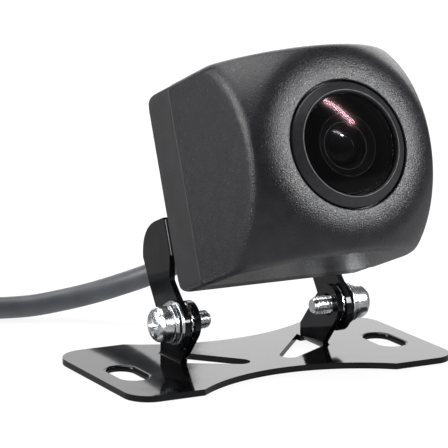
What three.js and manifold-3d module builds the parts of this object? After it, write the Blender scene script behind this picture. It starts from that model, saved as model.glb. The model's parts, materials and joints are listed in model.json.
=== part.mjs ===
// Vehicle backup camera on a two-part sheet-metal tilt bracket.
//
// Millimetres, +Z up. The origin is the middle of the base plate's underside. The lens looks towards -Y,
// the cable leaves towards +Y and -X, and the tilt axis runs along X.
//
// Everything that tilts is built in the camera group, whose own axes are x (right), -y (along the lens axis)
// and z (camera up), with its origin on the tilt axis. Depths along the lens axis are given as v = -y there.

import * as THREE from "three";
import { mergeVertices } from "three/addons/utils/BufferGeometryUtils.js";
import Module from "manifold-3d";

const wasm = await Module();
wasm.setup();

// ---------------------------------------------------------------- driving dimensions

const FIT = 0.3; // gap between pieces that touch or hold each other
const SEAT = 0.1; // gap between thin stacked pieces

// base plate
const PLATE_HALF_X = 29;
const PLATE_HALF_Y = 14.6;
const SHEET = 1.0; // thickness of both bent sheets
const PLATE_CORNER = { front: 4, rear: 5 };
const WAIST_FRONT = { half: 17.2, depth: 5.8 };
const WAIST_REAR = { half: 16.3, depth: 4.5 };
const SLOT = { x: 23.5, y: -0.9, length: 8.8, width: 4.6 };
const WINDOW = { tipX: 4.5, tipY: -2.8, tipRadius: 1.6, rearY: 8.3, frontY: -0.1 };

// tilt axis and the base plate's two ears
const PIVOT_Y = -1.1;
const PIVOT_Z = 8.1;
const TILT = THREE.MathUtils.degToRad(22.2); // lens above level in the modelled pose
const EAR = { inner: 12.4, outer: 13.4, head: 3.25, hole: 1.75, frontY: 1.3, rearY: 7.3, shoulder: 3.2 };

// pivot screw stack, as distances from the middle plane
const SCREW = { tip: 9.5, underHead: 16.85, top: 19.3, shank: 1.45, head: 2.8 };
const LOCK_WASHER = { from: 13.5, to: 13.9, outer: 3.0 };
const FLAT_WASHER = { from: 15.3, to: 15.8, outer: 3.5 };
const SPRING_WASHER = { from: 15.9, to: 16.7, outer: 3.1 };
const WASHER_BORE = 1.75;

// camera bracket, in the camera group
const WING_OUTER = 15.2;
const BACK_PLATE = { rear: 2.2, front: 3.2, low: 9.4, high: 16.0 };
const WING_TOP = 16.4;
const CABLE_HOLE = 4.0;

// housing, in the camera group
const BODY_HALF_X = 15.8;
const BODY_LOW = 3.7;
const BODY_HIGH = 35.4;
const BODY_MID = (BODY_LOW + BODY_HIGH) / 2;
const BODY_CORNER = 1.2; // rounding of the edges that run along the lens axis
const REAR_FACE = 3.5;
const REAR_CURVE = 2.8; // rounding of the rear cover's upper and lower rear edges
const REAR_SIDE = 0.8; // rounding of its upright rear edges
const SEAM = 11.6;
const SEAM_GAP = 0.15;
const WALL = 2.4;
const DOME = { radius: 23.4, v: 16.2, up: 20.0 };
const NOSE = 35.3; // flat ring around the lens
const CASE_SCREW = { x: 11.2, up: 11.4 };

// lens, all radii about the lens axis
const BEZEL_RADIUS = 9.6;
const GLASS = { edge: 7.4, curve: 20, apex: 37.3, thick: 0.6 };
const ELEMENT = 2.9; // radius of the two inner lens elements
const SHELL_BORE = 8.2;

// boards
const BOARD_HALF = 9.3;
const BOARD = 1.0;
const SENSOR_BOARD = 17.0;
const POWER_BOARD = 10.5;
const STANDOFF = 7.6;

// cable
const CABLE = 1.85;
const CABLE_UP = 12.5; // height of the cable outlet in the camera group
const GLAND_END = -5; // v of the strain relief's free end
const COIL = { x: -64, y: 24, lift: 0.8, inner: 14.45, outer: 25.55, height: 7.4 };
const TIE = { angle: 205, width: 4, thick: 0.5 };
const PLUG = { x: -96, y: 24, z: 5.9 }; // rear end of the connector, which points towards -Y

// ---------------------------------------------------------------- materials

function finish(color, roughness, metalness = 0) {
  return new THREE.MeshStandardMaterial({ color, roughness, metalness });
}

const black_plastic = finish(0x2b2b2e, 0.72);
const bezel_black = finish(0x2a2a2d, 0.4);
const black_paint = finish(0x0c0c0d, 0.14, 0.3);
const zinc = finish(0xb9bcc0, 0.28, 1);
const cable_black = finish(0x3a3c42, 0.45);
const rubber = finish(0x161617, 0.85);
const lens_glass = finish(0x08090b, 0.03);
const anodised = finish(0x101012, 0.5, 0.6);
const board_green = finish(0x0f4a2c, 0.55);
const chip_black = finish(0x18181a, 0.6);
const header_white = finish(0xd9d6cc, 0.5);
const brass = finish(0xc9a557, 0.3, 1);
const nylon_black = finish(0x1c1c1e, 0.6);

// ---------------------------------------------------------------- solids

/** A three.js geometry as a manifold solid, turned so that its faces point out. */
function solid(geometry) {
  const bare = geometry.clone();
  bare.deleteAttribute("normal");
  bare.deleteAttribute("uv");
  const merged = mergeVertices(bare, 1e-4);
  const vertProperties = new Float32Array(merged.attributes.position.array);
  const index = merged.index.array;
  const corners = [];
  for (let i = 0; i < index.length; i += 3) {
    const [a, b, c] = [index[i], index[i + 1], index[i + 2]];
    if (a !== b && b !== c && c !== a) corners.push(a, b, c);
  }
  const at = (k) => new THREE.Vector3().fromArray(vertProperties, 3 * k);
  let volume = 0;
  for (let i = 0; i < corners.length; i += 3) {
    volume += at(corners[i]).dot(at(corners[i + 1]).cross(at(corners[i + 2])));
  }
  if (volume < 0) corners.reverse();
  const triVerts = new Uint32Array(corners);
  return new wasm.Manifold(new wasm.Mesh({ numProp: 3, vertProperties, triVerts }));
}

/** A manifold solid as a three.js geometry. */
function geometryOf(body) {
  const mesh = body.getMesh();
  const geometry = new THREE.BufferGeometry();
  geometry.setAttribute("position", new THREE.BufferAttribute(new Float32Array(mesh.vertProperties), 3));
  geometry.setIndex(new THREE.BufferAttribute(new Uint32Array(mesh.triVerts), 1));
  return geometry;
}

/** Joins the first solid with the rest. */
function join(first, ...rest) {
  return rest.reduce((sum, next) => sum.add(next), first);
}

/** Cuts the rest out of the first solid. */
function cut(first, ...rest) {
  return rest.reduce((left, next) => left.subtract(next), first);
}

/** A box from its lowest to its highest corner. */
function block(low, high) {
  const size = high.map((h, k) => h - low[k]);
  const middle = high.map((h, k) => (h + low[k]) / 2);
  return solid(new THREE.BoxGeometry(...size).translate(...middle));
}

/** A body turned about the Y axis, from a closed profile of [radius, y] points. */
function turned(profile, segments = 24) {
  const points = [...profile, profile[0]].map(([r, y]) => new THREE.Vector2(r, y));
  return solid(new THREE.LatheGeometry(points, segments));
}

/** A ring or disc about the X axis, on the side given by sign, between two distances from the middle plane. */
function ringX(sign, from, to, inner, outer, segments = 20) {
  const profile = [[inner, from], [outer, from], [outer, to], [inner, to]];
  return turned(profile, segments).rotate([0, 0, -90 * sign]);
}

/** A body turned about the lens axis, from [radius, v] points, centred at height up. */
function lensPiece(profile, up = BODY_MID, segments = 28) {
  return turned(profile.map(([r, v]) => [r, -v]), segments).translate([0, 0, up]);
}

/** A ring about the lens axis between two depths. */
function lensRing(inner, outer, from, to, x = 0, up = BODY_MID, segments = 14) {
  const profile = [[inner, from], [outer, from], [outer, to], [inner, to]];
  return lensPiece(profile, up, segments).translate([x, 0, 0]);
}

/** A closed profile that runs over two spherical faces: front apex and rear apex on the axis. */
function lensProfile(radius, edge, front, rear, steps = 4) {
  const arc = ({ apex, curve }, rim) => {
    const points = [];
    for (let k = 0; k <= steps; k += 1) {
      const r = (rim * k) / steps;
      const sag = Math.abs(curve) - Math.sqrt(curve * curve - r * r);
      points.push([r, apex - Math.sign(curve) * sag]);
    }
    return points;
  };
  const outer = arc(front, radius).reverse();
  const inner = arc(rear, rear.rim ?? radius);
  return [...inner, ...(rear.rim ? [[radius, inner.at(-1)[1]]] : []), [radius, edge], ...outer];
}

/** A rectangle with round corners, as a shape. */
function roundedRect(lowX, highX, lowY, highY, radius) {
  const shape = new THREE.Shape();
  shape.moveTo(lowX + radius, lowY);
  shape.lineTo(highX - radius, lowY);
  shape.absarc(highX - radius, lowY + radius, radius, -Math.PI / 2, 0);
  shape.lineTo(highX, highY - radius);
  shape.absarc(highX - radius, highY - radius, radius, 0, Math.PI / 2);
  shape.lineTo(lowX + radius, highY);
  shape.absarc(lowX + radius, highY - radius, radius, Math.PI / 2, Math.PI);
  shape.lineTo(lowX, lowY + radius);
  shape.absarc(lowX + radius, lowY + radius, radius, Math.PI, 1.5 * Math.PI);
  return shape;
}

/** A shape drawn in x and z, extruded along the lens axis from one depth to another. */
function alongLens(shape, from, to, curveSegments = 3) {
  const geometry = new THREE.ExtrudeGeometry(shape, { depth: to - from, bevelEnabled: false, curveSegments });
  return solid(geometry.rotateX(Math.PI / 2).translate(0, -from, 0));
}

/** The housing's outline pulled in by inset. */
function outline(inset) {
  const corner = Math.max(BODY_CORNER - inset, 0.6);
  return roundedRect(-BODY_HALF_X + inset, BODY_HALF_X - inset, BODY_LOW + inset, BODY_HIGH - inset, corner);
}

/** A shape drawn in y and z, extruded along X between two distances from the middle plane. */
function acrossX(shape, sign, from, to, curveSegments = 5) {
  const geometry = new THREE.ExtrudeGeometry(shape, { depth: to - from, bevelEnabled: false, curveSegments });
  const standing = new THREE.Matrix4().makeBasis(
    new THREE.Vector3(0, 1, 0),
    new THREE.Vector3(0, 0, 1),
    new THREE.Vector3(1, 0, 0),
  );
  geometry.applyMatrix4(standing).translate(sign > 0 ? from : -to, 0, 0);
  return solid(geometry);
}

/** A shape drawn in x and y, standing between two heights. */
function upright(shape, low, high, curveSegments = 5) {
  const geometry = new THREE.ExtrudeGeometry(shape, { depth: high - low, bevelEnabled: false, curveSegments });
  return solid(geometry.translate(0, 0, low));
}

/** Points along a circle's arc, angles in degrees. */
function arcPoints(x, y, radius, from, to, steps = 8) {
  const points = [];
  for (let k = 0; k <= steps; k += 1) {
    const angle = THREE.MathUtils.degToRad(from + ((to - from) * k) / steps);
    points.push(new THREE.Vector2(x + radius * Math.cos(angle), y + radius * Math.sin(angle)));
  }
  return points;
}

/** A round tube through hand-placed points. */
function tubeAlong(points, radius, steps, sides = 8) {
  const path = new THREE.CatmullRomCurve3(points.map((p) => new THREE.Vector3(...p)));
  const section = new THREE.Shape();
  section.absarc(0, 0, radius, 0, 2 * Math.PI);
  const options = { steps, extrudePath: path, curveSegments: sides / 2, bevelEnabled: false };
  return solid(new THREE.ExtrudeGeometry(section, options));
}

const model = new THREE.Group();
const camera = new THREE.Group();
camera.position.set(0, PIVOT_Y, PIVOT_Z);
camera.rotation.x = -TILT;
model.add(camera);

/** Adds a solid to a group as a named mesh. */
function add(group, name, body, material) {
  const mesh = new THREE.Mesh(geometryOf(body), material);
  mesh.name = name;
  group.add(mesh);
}

const SIDES = [["left", -1], ["right", 1]];

// ---------------------------------------------------------------- base plate

/** An arc across the plate's long edge, from one side of the waist to the other. */
function waistArc({ half, depth }, edgeY) {
  const radius = (half * half + depth * depth) / (2 * depth);
  const reach = THREE.MathUtils.radToDeg(Math.asin(half / radius));
  const middle = edgeY + Math.sign(edgeY) * (radius - depth);
  const towardsPlate = edgeY > 0 ? 270 : 90;
  return arcPoints(0, middle, radius, towardsPlate - reach, towardsPlate + reach, 12);
}

function plateOutline() {
  const [hx, hy] = [PLATE_HALF_X, PLATE_HALF_Y];
  const { front, rear } = PLATE_CORNER;
  const points = [
    ...arcPoints(-hx + front, -hy + front, front, 180, 270, 5),
    ...waistArc(WAIST_FRONT, -hy).sort((a, b) => a.x - b.x),
    ...arcPoints(hx - front, -hy + front, front, 270, 360, 5),
    ...arcPoints(hx - rear, hy - rear, rear, 0, 90, 5),
    ...waistArc(WAIST_REAR, hy).sort((a, b) => b.x - a.x),
    ...arcPoints(-hx + rear, hy - rear, rear, 90, 180, 5),
  ];
  return new THREE.Shape(points);
}

function slotShape(sign) {
  const [x, half, r] = [sign * SLOT.x, SLOT.length / 2, SLOT.width / 2];
  return new THREE.Shape([
    ...arcPoints(x, SLOT.y + half - r, r, 0, 180, 8),
    ...arcPoints(x, SLOT.y - half + r, r, 180, 360, 8),
  ]);
}

/** The window that an ear was lanced from: wide at the ear, with a round tip near the plate's middle. */
function windowShape(sign) {
  const { tipX, tipY, tipRadius, rearY, frontY } = WINDOW;
  const tip = arcPoints(tipX, tipY, tipRadius, 136, 296, 8);
  const points = [new THREE.Vector2(EAR.inner, frontY), new THREE.Vector2(EAR.inner, rearY), ...tip];
  return new THREE.Shape(points.map((p) => new THREE.Vector2(sign * p.x, p.y)));
}

/** An ear's outline in y and z: a lug that leans forward to a round head on the tilt axis. */
function earShape() {
  const head = arcPoints(PIVOT_Y, PIVOT_Z, EAR.head, 219, 40, 10);
  const foot = [[EAR.rearY, EAR.shoulder], [EAR.rearY, 0], [EAR.frontY, 0]];
  return new THREE.Shape([...foot.map((p) => new THREE.Vector2(...p)), ...head]);
}

const pivotBore = (sign, from, to, radius) =>
  ringX(sign, from, to, 0, radius, 24).translate([0, PIVOT_Y, PIVOT_Z]);

function basePlate() {
  let plate = upright(plateOutline(), 0, SHEET);
  for (const [, sign] of SIDES) {
    const opened = cut(
      plate,
      upright(slotShape(sign), -1, SHEET + 1),
      upright(windowShape(sign), -1, SHEET + 1),
    );
    plate = join(opened, acrossX(earShape(), sign, EAR.inner, EAR.outer));
    plate = cut(plate, pivotBore(sign, EAR.inner - 1, EAR.outer + 1, EAR.hole));
  }
  return plate;
}

add(model, "base_plate", basePlate(), black_paint);

// ---------------------------------------------------------------- pivot screws and washers

/** A pan-head machine screw on the tilt axis, with a cross recess. */
function pivotScrew(sign) {
  const { tip, underHead, top, shank, head } = SCREW;
  const screw = turned(
    [[0, tip], [shank - 0.35, tip], [shank, tip + 0.4], [shank, underHead], [head, underHead],
      [head, top - 1.2], [head - 0.35, top - 0.5], [head - 1.0, top - 0.1], [0, top]],
    20,
  ).rotate([0, 0, -90 * sign]);
  const [inside, outside] = [sign * (top - 1.3), sign * (top + 1)].sort((a, b) => a - b);
  const crossed = cut(
    screw,
    block([inside, -1.7, -0.32], [outside, 1.7, 0.32]),
    block([inside, -0.32, -1.7], [outside, 0.32, 1.7]),
  );
  return crossed.rotate([20 * sign, 0, 0]).translate([0, PIVOT_Y, PIVOT_Z]);
}

/** A spring washer: a ring with a slanted split. */
function springWasher(sign) {
  const { from, to, outer } = SPRING_WASHER;
  const split = block([-2, -0.25, 1], [2, 0.25, outer + 1]).rotate([0, 35 * sign, 0]);
  return cut(ringX(sign, from, to, WASHER_BORE, outer, 20), split.translate([(sign * (from + to)) / 2, 0, 0]))
    .rotate([-60, 0, 0])
    .translate([0, PIVOT_Y, PIVOT_Z]);
}

for (const [side, sign] of SIDES) {
  const washer = ({ from, to, outer }) =>
    ringX(sign, from, to, WASHER_BORE, outer, 20).translate([0, PIVOT_Y, PIVOT_Z]);
  add(model, `pivot_screw_${side}`, pivotScrew(sign), zinc);
  add(model, `lock_washer_${side}`, washer(LOCK_WASHER), zinc);
  add(model, `flat_washer_${side}`, washer(FLAT_WASHER), zinc);
  add(model, `spring_washer_${side}`, springWasher(sign), zinc);
}

// ---------------------------------------------------------------- camera bracket

/** A wing and arm in the camera group's y and z: rounded top, tapering rear edge, round foot on the axis. */
function wingShape() {
  const shape = new THREE.Shape();
  const front = -BACK_PLATE.rear;
  shape.moveTo(front, WING_TOP);
  shape.lineTo(1.3, WING_TOP);
  shape.quadraticCurveTo(6.1, WING_TOP - 0.2, 7.3, WING_TOP - 4.6);
  shape.lineTo(6.6, 7.0);
  shape.lineTo(5.2, 0.8);
  for (const p of arcPoints(1.1, -0.2, 4.1, 8, -196, 14)) shape.lineTo(p.x, p.y);
  shape.lineTo(-0.3, 6.6);
  shape.lineTo(front, BACK_PLATE.low + 1.4);
  return shape;
}

/** Two wings joined behind the housing by a strip with a lobe around the cable hole. */
function cameraBracket() {
  const { rear, front, low, high } = BACK_PLATE;
  const strip = roundedRect(-WING_OUTER, WING_OUTER, low, high, 0.4);
  const lobe = lensRing(0, 6.2, rear, front, 0, CABLE_UP, 24);
  let bracket = join(alongLens(strip, rear, front), lobe);
  for (const [, sign] of SIDES) {
    const wing = acrossX(wingShape(), sign, WING_OUTER - SHEET, WING_OUTER);
    const [xLow, xHigh] = [sign * (WING_OUTER - SHEET), sign * WING_OUTER].sort((a, b) => a - b);
    const corner = block([xLow, -rear - 0.4, low + 1.4], [xHigh, -rear + 0.4, high - 0.4]);
    bracket = join(bracket, wing, corner);
    bracket = cut(bracket, ringX(sign, WING_OUTER - 2, WING_OUTER + 1, 0, WASHER_BORE, 24));
    bracket = cut(bracket, lensRing(0, 1.6, rear - 1, front + 1, sign * 9.6, CABLE_UP, 14));
  }
  return cut(bracket, lensRing(0, CABLE_HOLE, rear - 1, front + 1, 0, CABLE_UP, 20));
}

add(camera, "camera_bracket", cameraBracket(), black_paint);

/** A small pan-head screw along the lens axis: its head behind depth seat, its tip forward. */
function smallScrew(x, up, seat, tip, shank, head, headHeight) {
  const screw = lensPiece(
    [[0, tip], [shank, tip], [shank, seat], [head, seat], [head, seat - headHeight + 0.4],
      [head - 0.5, seat - headHeight], [0, seat - headHeight]],
    up,
    12,
  ).translate([x, 0, 0]);
  const deep = -(seat - headHeight + 0.6);
  const reach = head * 0.6;
  return cut(
    screw,
    block([x - reach, deep, up - 0.22], [x + reach, deep + 2, up + 0.22]),
    block([x - 0.22, deep, up - reach], [x + 0.22, deep + 2, up + reach]),
  );
}

for (const [side, sign] of SIDES) {
  const screw = smallScrew(sign * 9.6, CABLE_UP, BACK_PLATE.rear - SEAT, 8.2, 1.2, 2.3, 1.5);
  add(camera, `bracket_screw_${side}`, screw, zinc);
}

// ---------------------------------------------------------------- housing

const caseCorners = [[-1, -1], [1, -1], [-1, 1], [1, 1]].map(([sx, sz]) => [
  sx * CASE_SCREW.x,
  BODY_MID + sz * CASE_SCREW.up,
]);

/** The rear cover: a tray with rounded outer edges, screw bosses and a cable outlet. */
function rearCover() {
  const fromSide = roundedRect(-SEAM - 10, -REAR_FACE, BODY_LOW, BODY_HIGH, REAR_CURVE);
  const fromAbove = roundedRect(-BODY_HALF_X, BODY_HALF_X, -SEAM - 10, -REAR_FACE, REAR_SIDE);
  const tray = alongLens(outline(0), REAR_FACE, SEAM)
    .intersect(acrossX(fromSide, 1, -30, 30))
    .intersect(upright(fromAbove, -10, 60, 2));
  let cover = cut(
    tray,
    alongLens(outline(WALL), REAR_FACE + 2, SEAM + 1),
    alongLens(outline(1.1), SEAM - 1.2, SEAM + 1),
  );
  const rebate = 1.2 + FIT;
  for (const [x, up] of caseCorners) {
    cover = join(cover, lensRing(0, 2.5, REAR_FACE + 1.5, SEAM - rebate, x, up, 14));
    cover = cut(
      cover,
      lensRing(0, 2.1, REAR_FACE - 1, REAR_FACE + 2.6, x, up, 14),
      lensRing(0, 1.3, REAR_FACE, SEAM, x, up, 14),
    );
  }
  for (const [, sign] of SIDES) {
    cover = join(cover, lensRing(0, 2.6, REAR_FACE + 1.5, 8.8, sign * 9.6, CABLE_UP, 14));
    cover = cut(cover, lensRing(0, 1.5, REAR_FACE - 1, 8.5, sign * 9.6, CABLE_UP, 14));
  }
  return cut(cover, lensRing(0, 3.0, REAR_FACE - 1, REAR_FACE + 4, 0, CABLE_UP, 20));
}

/** The front shell: straight walls that end in a spherical nose, with a flat ring around the lens. */
function frontShell() {
  const nose = new THREE.SphereGeometry(DOME.radius, 32, 20).rotateX(Math.PI / 2);
  const dome = solid(nose.translate(0, -DOME.v, DOME.up));
  const inside = new THREE.SphereGeometry(DOME.radius - WALL, 16, 10).rotateX(Math.PI / 2);
  const hollow = solid(inside.translate(0, -DOME.v, DOME.up));
  const start = SEAM + SEAM_GAP;
  let shell = alongLens(outline(0), start, NOSE, 4).intersect(join(dome, block([-30, -DOME.v, -10], [30, 0, 60])));
  const room = alongLens(outline(WALL), start - 1, 31).intersect(
    join(hollow, block([-30, -DOME.v, -10], [30, 0, 60])),
  );
  const bosses = caseCorners.map(([x, up]) => lensRing(0, 2.4, start + 1.2, 24, x, up, 14));
  shell = join(cut(shell, room), ...bosses.map((boss) => boss.intersect(room)));
  return cut(
    shell,
    lensRing(0, SHELL_BORE, 25, NOSE + 1, 0, BODY_MID, 32),
    lensRing(0, BEZEL_RADIUS + 0.25, NOSE - 1.65, NOSE + 1, 0, BODY_MID, 32),
    ...caseCorners.map(([x, up]) => lensRing(0, 1.3, start, 21, x, up, 14)),
  );
}

/** The seal in the rebate inside the seam. */
function caseGasket() {
  const from = SEAM - 1.2 + FIT;
  const to = SEAM - 0.15;
  return cut(alongLens(outline(1.1 + FIT), from, to), alongLens(outline(WALL - 0.1), from - 1, to + 1));
}

add(camera, "rear_cover", rearCover(), black_plastic);
add(camera, "case_gasket", caseGasket(), rubber);
add(camera, "front_shell", frontShell(), black_plastic);
caseCorners.forEach(([x, up], k) => {
  add(camera, `case_screw_${k + 1}`, smallScrew(x, up, REAR_FACE + 2.3, 20, 1.0, 1.8, 1.3), zinc);
});

// ---------------------------------------------------------------- lens

add(
  camera,
  "lens_bezel",
  lensPiece(
    [[7.7, 33.95], [BEZEL_RADIUS, 33.95], [BEZEL_RADIUS, 35.2], [9.4, 35.42], [8.3, 36.15], [8.05, 36.25],
      [7.85, 35.9], [7.7, 35.4]],
    BODY_MID,
    32,
  ),
  bezel_black,
);
add(camera, "bezel_seal", lensRing(7.5, 7.95, 33.0, 33.7, 0, BODY_MID, 20), rubber);
const glassFront = { apex: GLASS.apex, curve: GLASS.curve };
const glassRear = { apex: GLASS.apex - GLASS.thick, curve: GLASS.curve };
const frontGlass = lensProfile(GLASS.edge, 35.6, glassFront, glassRear);
add(camera, "front_glass", lensPiece(frontGlass, BODY_MID, 24), lens_glass);
add(
  camera,
  "lens_barrel",
  lensPiece(
    [[ELEMENT + FIT, 21.8], [6.0, 21.8], [6.0, 30.0], [7.4, 30.0], [7.4, 32.8], [4.65, 32.8], [4.65, 34.9],
      [4.5, 34.9], [3.7, 34.3], [ELEMENT + FIT, 34.1]],
    BODY_MID,
    20,
  ),
  anodised,
);
const retainer = [[4.95, 33.1], [7.2, 33.1], [7.2, 33.9], [5.3, 34.9], [4.95, 34.9]];
add(camera, "lens_retainer", lensPiece(retainer, BODY_MID, 20), anodised);
const innerElement = lensProfile(ELEMENT, 32.9, { apex: 34.4, curve: 3.6 }, { apex: 30.0, curve: 1000 });
add(camera, "lens_element_inner", lensPiece(innerElement, BODY_MID, 20), lens_glass);
const rearElement = lensProfile(ELEMENT, 25.0, { apex: 25.9, curve: 7 }, { apex: 23.1, curve: 1000 });
add(camera, "lens_element_rear", lensPiece(rearElement, BODY_MID, 18), lens_glass);

/** The lens holder: a square foot over the sensor and a threaded collar for the barrel. */
function lensHolder() {
  const foot = block([-7.5, -21.5, BODY_MID - 7.5], [7.5, -(SENSOR_BOARD + BOARD + SEAT), BODY_MID + 7.5]);
  const collar = lensRing(0, 7.5, 21, 27, 0, BODY_MID, 20);
  return cut(
    join(foot, collar),
    lensRing(0, 6.3, 21.5, 28, 0, BODY_MID, 20),
    lensRing(0, 4.2, 17, 22, 0, BODY_MID, 16),
    block([-4.8, -20.4, BODY_MID - 4.8], [4.8, -17, BODY_MID + 4.8]),
  );
}

add(camera, "lens_holder", lensHolder(), nylon_black);
add(camera, "ir_filter", block([-4.5, -20.2, BODY_MID - 4.5], [4.5, -19.7, BODY_MID + 4.5]), lens_glass);

// ---------------------------------------------------------------- boards

/** A board across the lens axis, with its rear face at depth from. */
function board(from) {
  const shape = roundedRect(-BOARD_HALF, BOARD_HALF, BODY_MID - BOARD_HALF, BODY_MID + BOARD_HALF, 1.2);
  return alongLens(shape, from, from + BOARD, 3);
}

const frontOf = SENSOR_BOARD + BOARD + SEAT;
add(camera, "sensor_board", board(SENSOR_BOARD), board_green);
add(camera, "image_sensor", block([-3.6, -(frontOf + 1.0), BODY_MID - 3], [3.6, -frontOf, BODY_MID + 3]), chip_black);
add(camera, "power_board", board(POWER_BOARD), board_green);

const between = [POWER_BOARD + BOARD + SEAT, SENSOR_BOARD - SEAT];
[[-1, -1], [1, -1], [-1, 1], [1, 1]].forEach(([sx, sz], k) => {
  const post = lensRing(0, 1.2, ...between, sx * STANDOFF, BODY_MID + sz * STANDOFF, 12);
  add(camera, `board_standoff_${k + 1}`, post, brass);
});

/** A block on a board, between two depths, centred at x and at a height above the lens axis. */
function onBoard(x, rise, halfX, halfZ, from, to) {
  const up = BODY_MID + rise;
  return block([x - halfX, -to, up - halfZ], [x + halfX, -from, up + halfZ]);
}

add(camera, "board_connector", onBoard(0, 6.8, 4.5, 1.4, ...between), nylon_black);
add(camera, "image_processor", onBoard(0, 0, 3.6, 3.6, between[0], between[0] + 0.9), chip_black);
const behind = POWER_BOARD - SEAT;
add(camera, "power_inductor", onBoard(-5.4, 5.6, 2.2, 2.2, behind - 2.6, behind), chip_black);
add(camera, "filter_capacitor", lensRing(0, 2.0, behind - 3.6, behind, 5.4, BODY_MID + 5.4, 16), zinc);
add(camera, "cable_header", onBoard(0, 0.6, 4.2, 1.8, behind - 3.4, behind), header_white);

// ---------------------------------------------------------------- cable outlet

const boot = [
  [CABLE + FIT, GLAND_END], [2.5, GLAND_END], [3.35, 2.6], [3.35, REAR_FACE - FIT], [2.7, REAR_FACE - FIT],
  [2.7, REAR_FACE + 2 + FIT], [3.6, REAR_FACE + 2 + FIT], [3.6, 7.0], [CABLE + FIT, 7.0],
];
add(camera, "cable_gland", lensPiece(boot, CABLE_UP, 18), rubber);
add(camera, "cable_clamp", lensRing(CABLE + FIT, 2.9, 7.3, 8.5, 0, CABLE_UP, 14), nylon_black);
add(camera, "inner_jacket", lensRing(0, CABLE, GLAND_END + 0.6, 8.6, 0, CABLE_UP, 16), cable_black);
const leads = tubeAlong(
  [[0, -9.3, CABLE_UP - 0.6], [0, -9.6, CABLE_UP + 1.2], [0, -9.2, CABLE_UP + 3.4], [0, -8.8, CABLE_UP + 5.4]],
  0.45,
  8,
  6,
);
add(camera, "inner_leads", leads, cable_black);

// ---------------------------------------------------------------- cable and coil

/** A camera-group point in the model's own axes. */
function placed(x, v, up) {
  return new THREE.Vector3(x, -v, up).applyAxisAngle(new THREE.Vector3(1, 0, 0), -TILT)
    .add(new THREE.Vector3(0, PIVOT_Y, PIVOT_Z));
}

const outletFirst = placed(0, GLAND_END - FIT, CABLE_UP).toArray();
const outletNext = placed(0, GLAND_END - 4.2, CABLE_UP).toArray();
const LIE = CABLE + 0.05; // height of the axis of a cable that lies on the ground
const turnsLevel = COIL.lift + CABLE;

const route = [
  outletFirst,
  outletNext,
  [-1.7, 16.8, 14.0],
  [-3.7, 21.4, 11.5],
  [-6.3, 26.0, 8.9],
  [-9.0, 29.8, 6.9],
  [-12.4, 33.4, 5.0],
  [-16.6, 36.8, 3.4],
  [-21.0, 39.5, 2.3],
  [-26.0, 41.9, LIE],
  [-32.0, 44.1, LIE],
  [-38.5, 46.0, LIE],
  [-46.0, 47.5, 2.1],
  [-55.0, 48.2, 2.4],
  [COIL.x, COIL.y + 23.7, turnsLevel],
];

const tail = [
  [COIL.x - 8.1, COIL.y + 22.3, turnsLevel + 2 * CABLE],
  [-79.6, 43.2, turnsLevel + 2 * CABLE],
  [-86.4, 39.0, 6.2],
  [-91.4, 34.4, 6.0],
  [-94.6, 30.2, PLUG.z],
  [-95.9, 27.2, PLUG.z],
  [PLUG.x, PLUG.y + FIT, PLUG.z],
];

/** A flat ring about a vertical axis: the outer shape of the coil, grown by extra. */
function coilRing(extra = 0) {
  const { x, y, lift, inner, outer, height } = COIL;
  const [low, high] = [lift - extra, lift + height + extra];
  const ring = turned([[inner - extra, low], [outer + extra, low], [outer + extra, high], [inner - extra, high]], 32);
  return ring.rotate([90, 0, 0]).translate([x, y, 0]);
}

add(model, "cable", cut(tubeAlong(route, CABLE, 30), coilRing(FIT)), cable_black);
add(model, "cable_coil", coilRing(), cable_black);
add(model, "cable_tail", cut(tubeAlong(tail, CABLE, 9), coilRing(FIT)), cable_black);

/** A band around the coil's bundle of turns, square to the turns. */
function coilTie() {
  const { inner, outer, lift, height } = COIL;
  const { width, thick, angle } = TIE;
  const play = FIT;
  const low = [inner - play - thick, -width / 2, lift - play - thick];
  const high = [outer + play + thick, width / 2, lift + height + play + thick];
  const band = cut(
    block(low, high),
    block([low[0] + thick, -width, low[2] + thick], [high[0] - thick, width, high[2] - thick]),
  );
  return band.rotate([0, 0, angle]).translate([COIL.x, COIL.y, 0]);
}

add(model, "coil_tie", coilTie(), nylon_black);

// ---------------------------------------------------------------- connector

/** A body turned about the connector's axis, from [radius, distance from the cable end] points. */
function plugPiece(profile, segments = 16) {
  return turned(profile.map(([r, d]) => [r, -d]), segments).translate([PLUG.x, PLUG.y, PLUG.z]);
}

const overmould = [
  [0, 0.2], [2.5, 0.2], [2.9, 4], [4.4, 11], [4.6, 13], [4.6, 24.0], [3.9, 24.3], [3.9, 25.4], [4.9, 25.4],
  [4.9, 26.4], [0, 26.4],
];
add(model, "connector_body", plugPiece(overmould), rubber);

const GRIPS = 8;

/** The coupling nut: a captive ring behind the body's flange, with grip flats. */
function couplingNut() {
  const nut = plugPiece(
    [[4.2, 24.5], [5.3, 24.5], [5.75, 25.0], [5.75, 34.6], [5.35, 35.0], [4.6, 35.0], [4.6, 31.0], [5.2, 31.0],
      [5.2, 25.1], [4.2, 25.1]],
    24,
  );
  const grips = [];
  for (let k = 0; k < GRIPS; k += 1) {
    const groove = block([5.35, -33.4, -0.45], [7, -26.2, 0.45]).rotate([0, (360 / GRIPS) * k, 0]);
    grips.push(groove.translate([PLUG.x, PLUG.y, PLUG.z]));
  }
  return cut(nut, ...grips);
}

add(model, "coupling_nut", couplingNut(), nylon_black);

const CONTACT_CIRCLE = 1.7;
const contactPlaces = [45, 135, 225, 315].map((angle) => {
  const turn = THREE.MathUtils.degToRad(angle);
  return [CONTACT_CIRCLE * Math.cos(turn), CONTACT_CIRCLE * Math.sin(turn)];
});

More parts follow.
